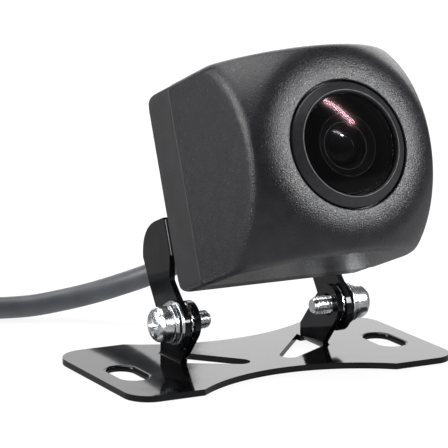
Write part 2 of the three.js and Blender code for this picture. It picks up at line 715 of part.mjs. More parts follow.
function connectorInsulator() {
  const holes = contactPlaces.map(([x, z]) =>
    turned([[0, -36], [0.75, -36], [0.75, -27.5], [0, -27.5]], 8).translate([PLUG.x + x, PLUG.y, PLUG.z + z]),
  );
  return cut(plugPiece([[0, 26.7], [3.5, 26.7], [3.5, 33.0], [3.3, 33.3], [0, 33.3]]), ...holes);
}

add(model, "connector_insulator", connectorInsulator(), nylon_black);
add(model, "connector_seal", plugPiece([[3.75, 26.7], [4.5, 26.7], [4.5, 27.7], [3.75, 27.7]], 16), rubber);
contactPlaces.forEach(([x, z], k) => {
  const pin = turned([[0, -32.6], [0.45, -32.6], [0.45, -27.8], [0, -27.8]], 10);
  add(model, `contact_${k + 1}`, pin.translate([PLUG.x + x, PLUG.y, PLUG.z + z]), brass);
});

export default model;
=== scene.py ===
"""A vehicle backup camera on its tilt bracket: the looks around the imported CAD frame.

Shapes are worked out in millimetres and turned into metres when a piece is placed. A camera piece is drawn in
the housing's own axes: x, up, and v, the depth along the lens axis.
"""

import json
import math

import bmesh
import bpy
import numpy as np
from mathutils import Matrix, Vector


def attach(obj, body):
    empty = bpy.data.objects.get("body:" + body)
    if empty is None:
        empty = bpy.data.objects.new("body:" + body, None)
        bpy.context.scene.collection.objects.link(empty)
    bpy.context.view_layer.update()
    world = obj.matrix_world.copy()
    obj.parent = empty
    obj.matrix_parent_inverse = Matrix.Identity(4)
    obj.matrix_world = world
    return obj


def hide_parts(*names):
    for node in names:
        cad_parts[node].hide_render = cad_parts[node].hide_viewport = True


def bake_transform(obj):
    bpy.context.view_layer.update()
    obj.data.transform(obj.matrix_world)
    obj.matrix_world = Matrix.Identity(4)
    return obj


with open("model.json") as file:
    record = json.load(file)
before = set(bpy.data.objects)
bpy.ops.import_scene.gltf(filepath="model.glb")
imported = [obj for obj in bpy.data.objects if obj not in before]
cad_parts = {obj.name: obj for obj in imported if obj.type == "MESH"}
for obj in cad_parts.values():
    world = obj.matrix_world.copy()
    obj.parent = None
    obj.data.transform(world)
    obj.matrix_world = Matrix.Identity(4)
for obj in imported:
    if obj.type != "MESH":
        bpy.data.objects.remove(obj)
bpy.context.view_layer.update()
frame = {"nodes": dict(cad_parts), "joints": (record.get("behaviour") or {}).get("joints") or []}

# -------- driving dimensions, mm

MM = 0.001
TILT_JOINT = next(j for j in frame["joints"] if j["name"] == "tilt")
PIVOT = Vector(TILT_JOINT["pos_m"]) / MM
TILT = math.radians(22.2)

BODY_HALF = 15.8
BODY_LOW, BODY_HIGH = 3.7, 35.4
LENS_UP = (BODY_LOW + BODY_HIGH) / 2
BODY_CORNER = 1.2
REAR_FACE = 3.5
REAR_CURVE = 2.8
REAR_SIDE = 0.8
SEAM = 11.6
SEAM_GAP = 0.15
WALL = 2.4
DOME_RADIUS, DOME_V, DOME_UP = 23.4, 16.2, 20.0
NOSE = 35.3
BEZEL_RADIUS = 9.6
BEZEL_SEAT = 33.65
SHELL_BORE = 8.2
GLASS_APEX, GLASS_CURVE, GLASS_THICK, GLASS_EDGE = 37.3, 20, 0.6, 7.6
ELEMENT = 2.85

SHEET = 1.0
TILT_BORE = 1.75
WING_OUTER = 15.2
BACK_REAR, BACK_FRONT = 2.2, 3.2
BACK_LOW, BACK_HIGH = 9.4, 16.0
WING_TOP = 16.4
CABLE_UP = 12.5
CABLE_HOLE = 4.0
BRACKET_SCREW_X = 9.6

CABLE = 1.85
GLAND_END = -5.0
COIL_X, COIL_Y = -64.0, 24.0
COIL_INNER, COIL_OUTER, COIL_BOTTOM, COIL_TOP = 14.45, 25.55, 0.8, 8.2
PLUG = Vector((-96.0, 24.0, 5.9))

# the row frame, the housing's axes (x, up, v), and each tilt screw's axis, which runs outwards
WORLD = Matrix.Scale(MM, 4)
AT_PIVOT = WORLD @ Matrix.Translation(PIVOT)
HOUSING = AT_PIVOT @ Matrix.Rotation(-TILT, 4, "X") @ Matrix.Rotation(math.pi / 2, 4, "X")
ON_LENS = HOUSING @ Matrix.Translation((0, LENS_UP, 0))
ON_CABLE = HOUSING @ Matrix.Translation((0, CABLE_UP, 0))
AXLE = {sign: AT_PIVOT @ Matrix.Rotation(sign * math.pi / 2, 4, "Y") for sign in (-1, 1)}
SIDES = (("left", -1), ("right", 1))


def housing_point(x, v, up):
    """A point of the housing in the row frame, in mm."""
    return HOUSING @ Vector((x, up, v)) / MM


# -------- view

AIM = Vector((-6.23, 0, 22.77))
VIEW_AZIMUTH, VIEW_ELEVATION, VIEW_ROLL = math.radians(-29.2), math.radians(12.3), math.radians(0.88)
VIEW_DISTANCE = 436.9


def add_camera():
    sin_a, cos_a = math.sin(VIEW_AZIMUTH), math.cos(VIEW_AZIMUTH)
    sin_e, cos_e = math.sin(VIEW_ELEVATION), math.cos(VIEW_ELEVATION)
    back = Vector((sin_a * cos_e, -cos_a * cos_e, sin_e))
    right = Vector((cos_a, sin_a, 0))
    turned_to = Matrix((right, back.cross(right), back)).transposed() @ Matrix.Rotation(VIEW_ROLL, 3, "Z")
    data = bpy.data.cameras.new("view")
    data.lens = 224.36
    data.sensor_width = 36
    data.clip_start = 0.01
    data.clip_end = 20
    camera = bpy.data.objects.new("view", data)
    bpy.context.collection.objects.link(camera)
    camera.matrix_world = Matrix.Translation((AIM + back * VIEW_DISTANCE) * MM) @ turned_to.to_4x4()
    bpy.context.scene.camera = camera


add_camera()

# -------- meshes


def new_object(name, points, faces):
    mesh = bpy.data.meshes.new(name)
    mesh.from_pydata([tuple(p) for p in points], [], [tuple(f) for f in faces])
    obj = bpy.data.objects.new(name, mesh)
    bpy.context.collection.objects.link(obj)
    return obj


def clean(obj, gap=1e-4):
    """Merges points that lie together and turns the faces outwards."""
    work = bmesh.new()
    work.from_mesh(obj.data)
    bmesh.ops.remove_doubles(work, verts=work.verts, dist=gap)
    bmesh.ops.dissolve_degenerate(work, edges=work.edges, dist=gap / 10)
    bmesh.ops.recalc_face_normals(work, faces=work.faces)
    work.to_mesh(obj.data)
    work.free()
    return obj


def apply_modifiers(obj):
    bpy.context.view_layer.update()
    graph = bpy.context.evaluated_depsgraph_get()
    mesh = bpy.data.meshes.new_from_object(obj.evaluated_get(graph))
    obj.modifiers.clear()
    before, obj.data = obj.data, mesh
    bpy.data.meshes.remove(before)
    return obj


def combine(obj, operation, others):
    """Joins the other objects to obj or cuts them from it, and removes them."""
    for other in others:
        change = obj.modifiers.new("combine", "BOOLEAN")
        change.operation = operation
        change.solver = "EXACT"
        change.object = other
    apply_modifiers(obj)
    for other in others:
        bpy.data.objects.remove(other)
    return obj


def union(obj, *others):
    return combine(obj, "UNION", others)


def cut(obj, *others):
    return combine(obj, "DIFFERENCE", others)


def rounded_edges(obj, width, segments=3, angle=35):
    """Rounds every edge sharper than angle."""
    bevel = obj.modifiers.new("round", "BEVEL")
    bevel.width = width
    bevel.segments = segments
    bevel.limit_method = "ANGLE"
    bevel.angle_limit = math.radians(angle)
    bevel.miter_outer = "MITER_ARC"
    return apply_modifiers(obj)


def smooth(obj, angle=40, weighted=True):
    """Smooth shading that keeps flat faces flat and edges sharper than angle sharp."""
    obj.data.shade_smooth()
    obj.data.set_sharp_from_angle(angle=math.radians(angle))
    if weighted:
        even = obj.modifiers.new("even", "WEIGHTED_NORMAL")
        even.keep_sharp = True
        apply_modifiers(obj)
    return obj


def grid_faces(rows, columns, wrap_rows=False):
    """Quads over rows of points, where each row closes on itself."""
    faces = []
    for r in range(rows if wrap_rows else rows - 1):
        below, above = r * columns, ((r + 1) % rows) * columns
        for c in range(columns):
            n = (c + 1) % columns
            faces.append((below + c, below + n, above + n, above + c))
    return faces


def capped_faces(rows, columns):
    """The faces of a closed tube of such rows: its sides and its two ends."""
    last = rows * columns - 1
    return grid_faces(rows, columns) + [tuple(range(columns)), tuple(range(last, last - columns, -1))]


def rounded(points, radius, steps=3, closed=True):
    """The polyline with its corners rounded: a curve from radius before each corner to radius after it."""
    made = []
    count = len(points)
    for k, corner in enumerate(points):
        if not closed and k in (0, count - 1):
            made.append(tuple(corner))
            continue
        here = Vector(corner)
        before, after = Vector(points[k - 1]), Vector(points[(k + 1) % count])
        reach = min(radius, 0.45 * (before - here).length, 0.45 * (after - here).length)
        first = here + (before - here).normalized() * reach
        last = here + (after - here).normalized() * reach
        for s in range(steps + 1):
            t = s / steps
            made.append(tuple(first.lerp(here, t).lerp(here.lerp(last, t), t)))
    return made


def arc(x, y, radius, start, end, steps):
    """Points along a circle, angles in degrees."""
    turn = [math.radians(start + (end - start) * k / steps) for k in range(steps + 1)]
    return [(x + radius * math.cos(a), y + radius * math.sin(a)) for a in turn]


def around(radius, height, angle):
    return (radius * math.cos(angle), radius * math.sin(angle), height)


def turned_rows(profile, segments):
    """Rings of points about the z axis, one for each (radius, height) of the profile."""
    return [around(r, h, 2 * math.pi * c / segments) for r, h in profile for c in range(segments)]


def turned(name, profile, segments=96):
    """A body turned about its z axis from a closed profile of (radius, height) points."""
    rows = turned_rows(profile, segments)
    return clean(new_object(name, rows, grid_faces(len(profile), segments, wrap_rows=True)))


def prism(name, outline, low, high, axes="xyz"):
    """An outline in the first two axes, extruded along the third."""
    count = len(outline)
    order = ["xyz".index(a) for a in axes]
    points = []
    for level in (low, high):
        for a, b in outline:
            point = [0, 0, 0]
            point[order[0]], point[order[1]], point[order[2]] = a, b, level
            points.append(point)
    faces = [tuple(range(count)), tuple(range(2 * count - 1, count - 1, -1))]
    faces += [(k, (k + 1) % count, count + (k + 1) % count, count + k) for k in range(count)]
    return clean(new_object(name, points, faces))


def rounded_box(name, low, high, radius, segments=3):
    outline = [(low[0], low[1]), (high[0], low[1]), (high[0], high[1]), (low[0], high[1])]
    return rounded_edges(prism(name, outline, low[2], high[2]), radius, segments)


def swept(name, path, section):
    """A section of (side, out) points swept along a path without twisting, with closed ends."""
    path = [Vector(p) for p in path]
    ahead = (path[1] - path[0]).normalized()
    side = ahead.orthogonal().normalized()
    rows = []
    for k, here in enumerate(path):
        before, after = path[max(k - 1, 0)], path[min(k + 1, len(path) - 1)]
        direction = (after - before).normalized()
        side = (side - direction * side.dot(direction)).normalized()
        out = direction.cross(side)
        rows += [here + side * a + out * b for a, b in section]
    return clean(new_object(name, rows, capped_faces(len(path), len(section))))


def circle(radius, count):
    return [around(radius, 0, 2 * math.pi * k / count)[:2] for k in range(count)]


def place(obj, matrix, body, material, nodes=()):
    """Puts a piece drawn in mm where it belongs, gives it its finish and lets it move with its body."""
    obj.data.transform(matrix)
    obj.data.update()
    obj.data.materials.clear()
    obj.data.materials.append(material)
    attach(obj, body)
    if nodes:
        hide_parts(*nodes)
    return obj


# -------- materials


def surface(name, color, roughness, fixed=()):
    """A principled material; fixed holds further sockets that are the same all over."""
    made = bpy.data.materials.new(name)
    made.use_nodes = True
    made.diffuse_color = (*color, 1)
    shader = made.node_tree.nodes["Principled BSDF"]
    shader.inputs["Base Color"].default_value = (*color, 1)
    shader.inputs["Roughness"].default_value = roughness
    for socket, value in dict(fixed).items():
        shader.inputs[socket].default_value = value
    return made


def noise(material, scale, detail=2.0, stretch=(1, 1, 1), kind="noise"):
    """A noise over the object's own coordinates, with about scale features per metre."""
    nodes, links = material.node_tree.nodes, material.node_tree.links
    where = nodes.new("ShaderNodeTexCoord")
    mapping = nodes.new("ShaderNodeMapping")
    mapping.inputs["Scale"].default_value = stretch
    links.new(where.outputs["Object"], mapping.inputs["Vector"])
    if kind == "cells":
        texture = nodes.new("ShaderNodeTexVoronoi")
        out = texture.outputs["Distance"]
    else:
        texture = nodes.new("ShaderNodeTexNoise")
        texture.inputs["Detail"].default_value = detail
        out = texture.outputs["Fac"]
    texture.inputs["Scale"].default_value = scale
    links.new(mapping.outputs["Vector"], texture.inputs["Vector"])
    return out


def vary_color(material, source, dark, light, low=0.35, high=0.65):
    """Colours from dark, where the source is low, to light, where it is high."""
    nodes, links = material.node_tree.nodes, material.node_tree.links
    ramp = nodes.new("ShaderNodeValToRGB")
    for element, position, color in zip(ramp.color_ramp.elements, (low, high), (dark, light)):
        element.position = position
        element.color = (*color, 1)
    links.new(source, ramp.inputs["Fac"])
    links.new(ramp.outputs["Color"], nodes["Principled BSDF"].inputs["Base Color"])


def mapped(tree, source, low, high, least, most):
    """The source with its range from low to high turned into least to most."""
    spread = tree.nodes.new("ShaderNodeMapRange")
    for socket, value in (("From Min", low), ("From Max", high), ("To Min", least), ("To Max", most)):
        spread.inputs[socket].default_value = value
    tree.links.new(source, spread.inputs["Value"])
    return spread.outputs["Result"]


def vary_roughness(material, source, least, most, low=0.3, high=0.7):
    tree = material.node_tree
    spread = mapped(tree, source, low, high, least, most)
    tree.links.new(spread, tree.nodes["Principled BSDF"].inputs["Roughness"])


def bumps(material, *layers):
    """Relief from (source, height in mm, strength) layers."""
    nodes, links = material.node_tree.nodes, material.node_tree.links
    below = None
    for source, height, strength in layers:
        relief = nodes.new("ShaderNodeBump")
        relief.inputs["Distance"].default_value = height * MM
        relief.inputs["Strength"].default_value = strength
        links.new(source, relief.inputs["Height"])
        if below is not None:
            links.new(below, relief.inputs["Normal"])
        below = relief.outputs["Normal"]
    links.new(below, nodes["Principled BSDF"].inputs["Normal"])


def moulded(name, dark, light, roughness, grain_size, grain_height, gloss_spread=0.08):
    """Moulded plastic or rubber with a fine grain."""
    made = surface(name, light, roughness)
    vary_color(made, noise(made, 900, 4), dark, light)
    grain = noise(made, 1000 / grain_size, 3)
    vary_roughness(made, grain, roughness - gloss_spread, roughness + gloss_spread)
    bumps(made, (grain, grain_height, 1.0))
    return made


def shell_plastic():
    """Spark-eroded black plastic: a coarse, sparkling grain over a soft mottle."""
    made = surface("shell_plastic", (0.010, 0.010, 0.011), 0.42)
    vary_color(made, noise(made, 420, 5), (0.008, 0.008, 0.010), (0.013, 0.013, 0.017))
    grain = noise(made, 5600, 1)
    vary_roughness(made, noise(made, 2400, 2), 0.26, 0.38)
    bumps(made, (noise(made, 3800, 1), 0.012, 1.0), (grain, 0.06, 1.0))
    return made


def cover_plastic():
    """The rear cover's finer grain."""
    made = surface("cover_plastic", (0.013, 0.013, 0.015), 0.46)
    vary_color(made, noise(made, 420, 5), (0.011, 0.011, 0.012), (0.017, 0.017, 0.020))
    grain = noise(made, 5200, 2)
    vary_roughness(made, grain, 0.42, 0.58)
    bumps(made, (grain, 0.025, 0.7))
    return made


def enamel():
    """Gloss black stoving enamel: a slow orange peel, a few specks of dust and faint rub marks."""
    made = surface("enamel", (0.006, 0.006, 0.007), 0.06, {"IOR": 1.42})
    vary_color(made, noise(made, 350, 6), (0.004, 0.004, 0.005), (0.009, 0.009, 0.010))
    marks = noise(made, 240, 6)
    vary_roughness(made, marks, 0.07, 0.15, 0.5, 0.8)
    specks = noise(made, 1900, 1)
    bumps(made, (noise(made, 260, 1), 0.012, 0.5), (specks, 0.003, 0.3))
    return made


def zinc():
    """Bright zinc plate with fine turning marks and a faint tarnish."""
    made = surface("zinc", (0.82, 0.84, 0.86), 0.22, {"Metallic": 1.0})
    vary_color(made, noise(made, 700, 5), (0.64, 0.66, 0.68), (0.90, 0.92, 0.94))
    marks = noise(made, 2600, 3, stretch=(6, 1, 1))
    vary_roughness(made, marks, 0.14, 0.34)
    bumps(made, (marks, 0.006, 0.5))
    return made


def cable_jacket():
    """Satin cable jacket with the fine lines of extrusion and handling marks."""
    made = surface("cable_jacket", (0.095, 0.102, 0.114), 0.42)
    vary_color(made, noise(made, 240, 5), (0.082, 0.088, 0.098), (0.108, 0.116, 0.130))
    fine = noise(made, 3200, 2)
    vary_roughness(made, noise(made, 420, 4), 0.36, 0.5)
    bumps(made, (fine, 0.012, 0.5), (noise(made, 160, 2), 0.08, 0.3))
    return made


def clear_glass(name, tint):
    """Coated glass: what lies behind shows through its tint, under a reflection that grows at its edges."""
    made = surface(name, (0.9, 0.9, 0.9), 0.12, {"Metallic": 1.0})
    vary_roughness(made, noise(made, 120, 2), 0.11, 0.13, 0.4, 0.9)
    nodes, links = made.node_tree.nodes, made.node_tree.links
    through = nodes.new("ShaderNodeBsdfTransparent")
    through.inputs["Color"].default_value = (*tint, 1)
    edge = nodes.new("ShaderNodeLayerWeight")
    edge.inputs["Blend"].default_value = 0.5
    steep = nodes.new("ShaderNodeMath")
    steep.operation = "POWER"
    steep.inputs[1].default_value = 4.0
    mix = nodes.new("ShaderNodeMixShader")
    links.new(edge.outputs["Facing"], steep.inputs[0])
    links.new(mapped(made.node_tree, steep.outputs[0], 0, 1, 0.022, 0.9), mix.inputs["Fac"])
    links.new(through.outputs["BSDF"], mix.inputs[1])
    links.new(nodes["Principled BSDF"].outputs["BSDF"], mix.inputs[2])
    links.new(mix.outputs["Shader"], nodes["Material Output"].inputs["Surface"])
    return made


def coated_glass(name, dark, tint):
    """A dark inner lens with the tinted reflection of its coating."""
    coat = {"IOR": 1.6, "Coat Weight": 1.0, "Coat Roughness": 0.1, "Coat Tint": (*tint, 1)}
    made = surface(name, dark, 0.12, coat)
    vary_color(made, noise(made, 200, 3), dark, tuple(1.4 * c for c in dark))
    return made


def lens_black():
    """Dead black paint inside the lens barrel."""
    made = surface("lens_black", (0.001, 0.001, 0.001), 0.8, {"Specular IOR Level": 0.03})
    vary_color(made, noise(made, 900, 3), (0.0007, 0.0007, 0.0007), (0.0016, 0.0016, 0.0016))
    vary_roughness(made, noise(made, 2600, 2), 0.7, 0.9)
    return made


def anodised():
    made = surface("anodised", (0.012, 0.012, 0.013), 0.42, {"Metallic": 0.4})
    vary_color(made, noise(made, 800, 4), (0.009, 0.009, 0.010), (0.016, 0.016, 0.017))
    rings = noise(made, 4000, 1)
    vary_roughness(made, rings, 0.34, 0.5)
    bumps(made, (rings, 0.01, 0.5))
    return made


def solder_mask():
    made = surface("solder_mask", (0.01, 0.08, 0.035), 0.35, {"Coat Weight": 0.4})
    vary_color(made, noise(made, 900, 1, kind="cells"), (0.008, 0.06, 0.026), (0.014, 0.11, 0.05), 0.2, 0.5)
    bumps(made, (noise(made, 1500, 2), 0.02, 0.5))
    return made


def brass():
    made = surface("brass", (0.6, 0.42, 0.16), 0.25, {"Metallic": 1.0})
    vary_color(made, noise(made, 900, 4), (0.5, 0.34, 0.12), (0.68, 0.48, 0.2))
    vary_roughness(made, noise(made, 2500, 2), 0.18, 0.32)
    return made


SHELL = shell_plastic()
COVER = cover_plastic()
BEZEL = moulded("bezel_plastic", (0.015, 0.015, 0.017), (0.021, 0.021, 0.024), 0.34, 0.4, 0.012)
ENAMEL = enamel()
ZINC = zinc()
JACKET = cable_jacket()
RUBBER = moulded("rubber", (0.014, 0.014, 0.015), (0.021, 0.021, 0.022), 0.58, 0.25, 0.02)
NYLON = moulded("nylon", (0.016, 0.016, 0.017), (0.024, 0.024, 0.026), 0.44, 0.35, 0.012)
HEADER_NYLON = moulded("header_nylon", (0.62, 0.60, 0.54), (0.74, 0.72, 0.66), 0.45, 0.35, 0.01)
EPOXY = moulded("epoxy", (0.012, 0.012, 0.013), (0.02, 0.02, 0.021), 0.5, 0.15, 0.012)
DOME_GLASS = clear_glass("dome_glass", (0.62, 0.62, 0.62))
FILTER_GLASS = clear_glass("filter_glass", (0.75, 0.9, 0.95))
INNER_LENS = coated_glass("inner_lens", (0.004, 0.004, 0.005), (0.75, 0.72, 0.8))
REAR_LENS = coated_glass("rear_lens", (0.006, 0.004, 0.006), (0.9, 0.55, 0.6))
ANODISED = anodised()
LENS_BLACK = lens_black()
SOLDER_MASK = solder_mask()
BRASS = brass()

# -------- cable

# where the cable isn't coiled, its route's points in metres
ROUTE = [
    (-0.0017, 0.0168, 0.0140),
    (-0.0037, 0.0214, 0.0115),
    (-0.0063, 0.0260, 0.0089),
    (-0.0090, 0.0298, 0.0069),
    (-0.0124, 0.0334, 0.0050),
    (-0.0166, 0.0368, 0.0034),
    (-0.0210, 0.0395, 0.0023),
    (-0.0260, 0.0419, 0.0019),
    (-0.0320, 0.0441, 0.0019),
    (-0.0385, 0.0460, 0.0019),
    (-0.0460, 0.0475, 0.0021),
    (-0.0550, 0.0482, 0.0024),
]
TAIL = [
    (-0.0796, 0.0432, 0.00635),
    (-0.0864, 0.0390, 0.0062),
    (-0.0914, 0.0344, 0.0060),
    (-0.0946, 0.0302, 0.0059),
    (-0.0959, 0.0272, 0.0059),
    (-0.0960, 0.0243, 0.0059),
]


def coil_points():
    """The coil's turns in mm: in on the bottom layer, up beside the hole, and out on the top layer."""
    outer = COIL_OUTER - CABLE
    middle, inner = outer - 2 * CABLE, outer - 4 * CABLE
    low = COIL_BOTTOM + CABLE
    high = low + 2 * CABLE
    # (angle, radius, height) at the ends of each stretch
    stretches = [
        (90, outer, low), (390, outer, low), (450, middle, low), (750, middle, low), (810, inner, low),
        (1080, inner, low), (1110, inner, high), (1380, inner, high), (1440, middle, high),
        (1740, middle, high), (1800, outer, high), (1910, outer, high),
    ]
    points = []
    for (start, r0, z0), (end, r1, z1) in zip(stretches, stretches[1:]):
        steps = max(2, round((end - start) / 6))
        for k in range(steps):
            t = k / steps
            ease = t * t * (3 - 2 * t)
            angle = math.radians(start + (end - start) * t)
            radius = r0 + (r1 - r0) * ease
            height = z0 + (z1 - z0) * ease
            points.append(around(radius, height, angle))
    end, radius, height = stretches[-1]
    points.append(around(radius, height, math.radians(end)))
    return [Vector(point) + Vector((COIL_X, COIL_Y, 0)) for point in points]


def smooth_line(points, spacing):
    """A centripetal Catmull-Rom line through the points, as evenly spaced points."""
    p = np.array([tuple(q) for q in points], float)
    p = np.vstack([2 * p[0] - p[1], p, 2 * p[-1] - p[-2]])
    knots = np.concatenate([[0], np.cumsum(np.linalg.norm(np.diff(p, axis=0), axis=1) ** 0.5)])
    line = []
    for k in range(1, len(p) - 2):
        t0, t1, t2, t3 = knots[k - 1 : k + 3]
        t = np.linspace(t1, t2, 13)[:-1, None]
        a1 = (t1 - t) / (t1 - t0) * p[k - 1] + (t - t0) / (t1 - t0) * p[k]
        a2 = (t2 - t) / (t2 - t1) * p[k] + (t - t1) / (t2 - t1) * p[k + 1]
        a3 = (t3 - t) / (t3 - t2) * p[k + 1] + (t - t2) / (t3 - t2) * p[k + 2]
        b1 = (t2 - t) / (t2 - t0) * a1 + (t - t0) / (t2 - t0) * a2
        b2 = (t3 - t) / (t3 - t1) * a2 + (t - t1) / (t3 - t1) * a3
        line.append((t2 - t) / (t2 - t1) * b1 + (t - t1) / (t2 - t1) * b2)
    line = np.vstack([*line, p[-2:-1]])
    run = np.concatenate([[0], np.cumsum(np.linalg.norm(np.diff(line, axis=0), axis=1))])
    even = np.linspace(0, run[-1], max(2, round(run[-1] / spacing)))
    return np.stack([np.interp(even, run, line[:, k]) for k in range(3)], axis=1)


def make_cable():
    outlet = housing_point(0, GLAND_END - 0.3, CABLE_UP)
    straight = housing_point(0, GLAND_END - 4.2, CABLE_UP)
    lying = [Vector(p) / MM for p in ROUTE]
    tail = [Vector(p) / MM for p in TAIL]
    line = smooth_line([outlet, straight, *lying, *coil_points(), *tail], 1.1)
    cable = swept("cable_whole", line, circle(CABLE - 0.02, 20))
    smooth(cable, 60, weighted=False)
    cable.data.transform(WORLD)
    cable.data.materials.append(JACKET)
    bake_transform(cable)
    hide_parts("cable", "cable_coil", "cable_tail")


make_cable()

# -------- housing


def smooth_max(a, b, reach):
    """The larger of two distances, blended over reach, which rounds the edge between their surfaces."""
    h = np.clip(0.5 + 0.5 * (a - b) / reach, 0, 1)
    return b + (a - b) * h + reach * h * (1 - h)


def rounded_rectangle(a, b, half_a, half_b, radius):
    """Distance to a rectangle with round corners, negative inside."""
    qa, qb = np.abs(a) - half_a + radius, np.abs(b) - half_b + radius
    outside = np.hypot(np.maximum(qa, 0), np.maximum(qb, 0))
    return outside + np.minimum(np.maximum(qa, qb), 0) - radius


BODY_HALF_UP = (BODY_HIGH - BODY_LOW) / 2
FAR = 40


def front_distance(x, up, v):
    walls = rounded_rectangle(x, up - LENS_UP, BODY_HALF, BODY_HALF_UP, BODY_CORNER)
    ahead = np.maximum(v - DOME_V, 0)
    dome = np.sqrt(x**2 + (up - DOME_UP) ** 2 + ahead**2) - DOME_RADIUS
    return smooth_max(smooth_max(walls, dome, 1.0), v - NOSE, 1.8)


def rear_distance(x, up, v):
    walls = rounded_rectangle(x, up - LENS_UP, BODY_HALF, BODY_HALF_UP, BODY_CORNER)
    half_v = (FAR - REAR_FACE) / 2
    from_side = rounded_rectangle(up - LENS_UP, v - REAR_FACE - half_v, BODY_HALF_UP, half_v, REAR_CURVE)
    from_above = rounded_rectangle(x, v - REAR_FACE - half_v, BODY_HALF, half_v, REAR_SIDE)
    return smooth_max(smooth_max(walls, from_side, 0.5), from_above, 0.5)


def surface_points(distance, depth, direction, inset):
    """Where rays from the lens axis at that depth meet the surface that lies inset below distance zero."""
    start = np.array([0, LENS_UP, depth])
    near, far = np.zeros(len(direction)), np.full(len(direction), 60.0)
    for _ in range(42):
        middle = (near + far) / 2
        here = start + direction * middle[:, None]
        inside = distance(here[:, 0], here[:, 1], here[:, 2]) + inset < 0
        near, far = np.where(inside, middle, near), np.where(inside, far, middle)
    return start + direction * near[:, None]


def column_angles():
    """Angles round the lens axis, evenly spread along the housing's outline, closer at its corners."""
    outline = []
    for sx, sz, start in ((1, -1, -90), (1, 1, 0), (-1, 1, 90), (-1, -1, 180)):
        centre_x, centre_up = sx * (BODY_HALF - BODY_CORNER), sz * (BODY_HALF_UP - BODY_CORNER)
        outline.append(arc(centre_x, centre_up, BODY_CORNER, start, start + 90, 10))
    angles = []
    for k, corner in enumerate(outline):
        following = outline[(k + 1) % 4]
        side = [Vector(corner[-1]).lerp(Vector(following[0]), t / 44) for t in range(1, 44)]
        angles += [math.atan2(p[1], p[0]) for p in (*corner, *side)]
    return np.unwrap(angles)


ANGLES = column_angles()


def ring_points(radius, v):
    return np.stack([radius * np.cos(ANGLES), radius * np.sin(ANGLES), np.full_like(ANGLES, v)], axis=1)


def side_row(distance, v, inset=0.0):
    """A row round the housing at depth v."""
    return surface_points(distance, v, ring_points(1, 0), inset)


def cone_row(distance, centre_v, tilt, inset=0.0):
    """A row where a cone of rays meets the housing, each ray tilted from the forward lens axis."""
    return surface_points(distance, centre_v, ring_points(math.sin(tilt), math.cos(tilt)), inset)


def ring_row(radius, v):
    return ring_points(radius, v) + np.array([0, LENS_UP, 0])


# how far a seam's edge is (back from it, in from the side) as it rounds over
SEAM_EDGE = ((0, 0.16), (0.05, 0.05), (0.16, 0))


def make_front_shell():
    start, centre, bore = SEAM + SEAM_GAP, 16.0, BEZEL_RADIUS + 0.25
    rows = [side_row(front_distance, start + back, inset) for back, inset in SEAM_EDGE]
    rows += [side_row(front_distance, v) for v in np.linspace(start + 0.5, centre, 8)]
    last = math.atan2(bore + 0.45, NOSE - centre)
    rows += [cone_row(front_distance, centre, a) for a in np.linspace(math.pi / 2, last, 100)[1:]]
    rim = float(rows[-1][:, 2].mean())
    mouth = ((0.22, 0.0), (0.08, 0.03), (0.0, 0.12), (0, 0.3))
    rows += [ring_row(bore + out, rim - down) for out, down in mouth]
    rows += [ring_row(bore, BEZEL_SEAT), ring_row(SHELL_BORE, BEZEL_SEAT), ring_row(SHELL_BORE, 31.4)]
    rows += [cone_row(front_distance, centre, a, WALL) for a in np.linspace(0.6, math.pi / 2, 16)]
    rows += [side_row(front_distance, start, WALL)]
    faces = grid_faces(len(rows), len(ANGLES), wrap_rows=True)
    shell = clean(new_object("housing_front", np.vstack(rows), faces))
    place(smooth(shell, 50, weighted=False), HOUSING, "camera", SHELL, ["front_shell"])


def cylinder(name, radius, low, high, segments=48):
    return turned(name, [(0, low), (radius, low), (radius, high), (0, high)], segments)


def moved(obj, x=0.0, y=0.0, z=0.0):
    obj.data.transform(Matrix.Translation((x, y, z)))
    return obj


CASE_CORNERS = [(sx * 11.2, LENS_UP + sz * 11.4) for sx, sz in ((-1, -1), (1, -1), (-1, 1), (1, 1))]


def make_rear_cover():
    """Its outside with the seam's step, then its inside, each closed by a fan to a point on the lens axis."""
    centre, step, lip, count = 9.0, 1.5, 1.1, len(ANGLES)
    rows = [side_row(rear_distance, SEAM, WALL), side_row(rear_distance, SEAM - step, WALL)]
    rows += [side_row(rear_distance, SEAM - step, lip), side_row(rear_distance, SEAM, lip)]
    rows += [side_row(rear_distance, SEAM - back, inset) for back, inset in SEAM_EDGE]
    rows += [side_row(rear_distance, v) for v in np.linspace(SEAM - 0.5, centre, 4)]
    rows += [cone_row(rear_distance, centre, a) for a in np.linspace(math.pi / 2, math.pi * 0.995, 110)[1:]]
    inner = [cone_row(rear_distance, centre, a, WALL) for a in np.linspace(math.pi * 0.99, math.pi / 2, 24)]
    top = len(rows) * count
    base = top + 1
    tip = base + len(inner) * count
    points = [*np.vstack(rows), (0, LENS_UP, REAR_FACE), *np.vstack(inner), (0, LENS_UP, REAR_FACE + WALL)]
    faces = grid_faces(len(rows), count)
    faces += [tuple(base + i for i in face) for face in grid_faces(len(inner), count)]
    for k in range(count):
        n = (k + 1) % count
        faces.append((top - count + k, top - count + n, top))
        faces.append((base + n, base + k, tip))
        faces.append((tip - count + k, tip - count + n, n, k))
    cover = clean(new_object("housing_rear", points, faces))
    holes = [moved(cylinder("hole", 2.1, REAR_FACE - 1, REAR_FACE + 2.3), x, up) for x, up in CASE_CORNERS]
    for _, sign in SIDES:
        holes.append(moved(cylinder("hole", 1.5, REAR_FACE - 1, 8), sign * BRACKET_SCREW_X, CABLE_UP))
    holes.append(moved(cylinder("hole", 3.0, REAR_FACE - 1, 8), 0, CABLE_UP))
    cut(cover, *holes)
    place(smooth(cover, 50, weighted=False), HOUSING, "camera", COVER, ["rear_cover"])


make_front_shell()
make_rear_cover()

# -------- lens


